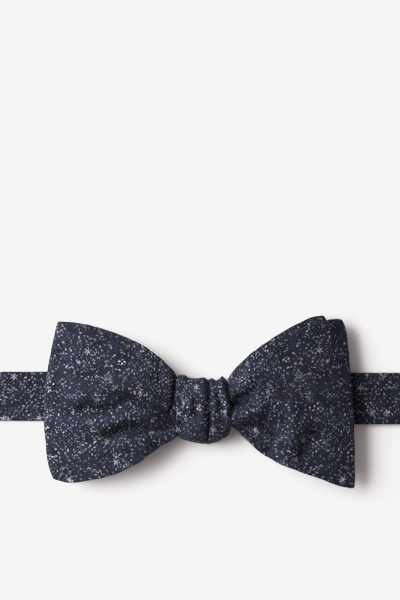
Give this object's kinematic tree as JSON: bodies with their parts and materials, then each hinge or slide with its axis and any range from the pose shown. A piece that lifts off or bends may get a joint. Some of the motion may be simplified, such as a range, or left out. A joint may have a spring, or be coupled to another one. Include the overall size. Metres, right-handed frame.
{
  "type": "bow tie",
  "caption": "Tied butterfly bow tie in flecked navy cloth, lying flat, with layered wings, a pleated knot and an adjustable neckband that closes with a hook and an eye.",
  "frame": {"origin": "on the table, under the middle of the knot and on the band's centre line", "axes": "+X along the band to the wearer's left, +Y up the bow, +Z out of its face"},
  "size_m": [0.4136, 0.0678, 0.0174],
  "materials": {
    "bow_cloth": "navy twill with pale flecks",
    "lining_cloth": "the same flecked navy twill, inner panel",
    "band_cloth": "flecked navy twill, pressed flat",
    "interlining": "undyed wool and cotton canvas",
    "metal": "polished nickel plate",
    "thread": "navy sewing thread"
  },
  "bodies": {
    "knot": {"knot_wrap": "bow_cloth", "knot_interlining": "interlining", "front_waist": "bow_cloth", "rear_waist": "bow_cloth", "band_centre": "band_cloth", "band_centre_interlining": "interlining"},
    "left_wing": {"front_loop_face": "bow_cloth", "front_loop_interlining": "interlining", "front_loop_lining": "lining_cloth", "rear_end_face": "bow_cloth", "rear_end_interlining": "interlining", "rear_end_lining": "lining_cloth"},
    "right_wing": {"front_end_face": "bow_cloth", "front_end_interlining": "interlining", "front_end_lining": "lining_cloth", "rear_loop_face": "bow_cloth", "rear_loop_interlining": "interlining", "rear_loop_lining": "lining_cloth"},
    "left_inner_band": {"left_band_inner": "band_cloth", "left_band_inner_interlining": "interlining"},
    "left_middle_band": {"left_band_middle": "band_cloth", "left_band_middle_interlining": "interlining"},
    "left_outer_band": {"left_band_outer": "band_cloth", "strap_run": "band_cloth"},
    "strap_turn": {"hook_fold": "band_cloth", "strap_return": "band_cloth"},
    "slider": {"strap_end": "band_cloth", "slider": "metal"},
    "hook": {"hook": "metal"},
    "right_inner_band": {"right_band_inner": "band_cloth", "right_band_inner_interlining": "interlining"},
    "right_middle_band": {"right_band_middle": "band_cloth", "right_band_middle_interlining": "interlining"},
    "right_outer_band": {"right_band_outer": "band_cloth", "right_band_outer_interlining": "interlining", "eye_fold": "band_cloth", "eye_bartack": "thread"},
    "eye": {"eye": "metal"}
  },
  "joints": [
    {"name": "left_wing_flex", "type": "hinge", "parent": "knot", "child": "left_wing", "pos_m": [-0.0132, 0, 0.0095], "axis": [0, 1, 0], "range_deg": [0, 20], "stiffness_Nm_per_rad": 0.03},
    {"name": "right_wing_flex", "type": "hinge", "parent": "knot", "child": "right_wing", "pos_m": [0.0132, 0, 0.009], "axis": [0, -1, 0], "range_deg": [0, 20], "stiffness_Nm_per_rad": 0.03},
    {"name": "left_band_bend", "type": "hinge", "parent": "knot", "child": "left_inner_band", "pos_m": [-0.024, 0, 0.0017], "axis": [0, -1, 0], "range_deg": [0, 30]},
    {"name": "left_middle_bend", "type": "hinge", "parent": "left_inner_band", "child": "left_middle_band", "pos_m": [-0.054, 0, 0.0017], "axis": [0, -1, 0], "range_deg": [0, 30]},
    {"name": "left_outer_bend", "type": "hinge", "parent": "left_middle_band", "child": "left_outer_band", "pos_m": [-0.084, 0, 0.0017], "axis": [0, -1, 0], "range_deg": [0, 30]},
    {"name": "neck_size", "type": "slide", "parent": "left_outer_band", "child": "strap_turn", "axis": [-1, 0, 0], "range_m": [-0.026, 0.026], "deforming": ["strap_run"]},
    {"name": "slider_travel", "type": "slide", "parent": "strap_turn", "child": "slider", "axis": [-1, 0, 0], "range_m": [-0.026, 0.026], "deforming": ["strap_return"]},
    {"name": "hook_swing", "type": "hinge", "parent": "strap_turn", "child": "hook", "pos_m": [-0.194, 0, 0.0023], "axis": [0, 1, 0], "range_deg": [-100, 100]},
    {"name": "right_band_bend", "type": "hinge", "parent": "knot", "child": "right_inner_band", "pos_m": [0.024, 0, 0.0017], "axis": [0, 1, 0], "range_deg": [0, 30]},
    {"name": "right_middle_bend", "type": "hinge", "parent": "right_inner_band", "child": "right_middle_band", "pos_m": [0.054, 0, 0.0017], "axis": [0, 1, 0], "range_deg": [0, 30]},
    {"name": "right_outer_bend", "type": "hinge", "parent": "right_middle_band", "child": "right_outer_band", "pos_m": [0.084, 0, 0.0017], "axis": [0, 1, 0], "range_deg": [0, 30]},
    {"name": "eye_swing", "type": "hinge", "parent": "right_outer_band", "child": "eye", "pos_m": [0.197, 0, 0.0023], "axis": [0, -1, 0], "range_deg": [-100, 100]}
  ],
  "couplings": [
    {"joint": "left_middle_bend", "follows": "left_band_bend", "ratio": 1},
    {"joint": "left_outer_bend", "follows": "left_band_bend", "ratio": 1},
    {"joint": "right_middle_bend", "follows": "right_band_bend", "ratio": 1},
    {"joint": "right_outer_bend", "follows": "right_band_bend", "ratio": 1},
    {"joint": "slider_travel", "follows": "neck_size", "ratio": 1}
  ]
}
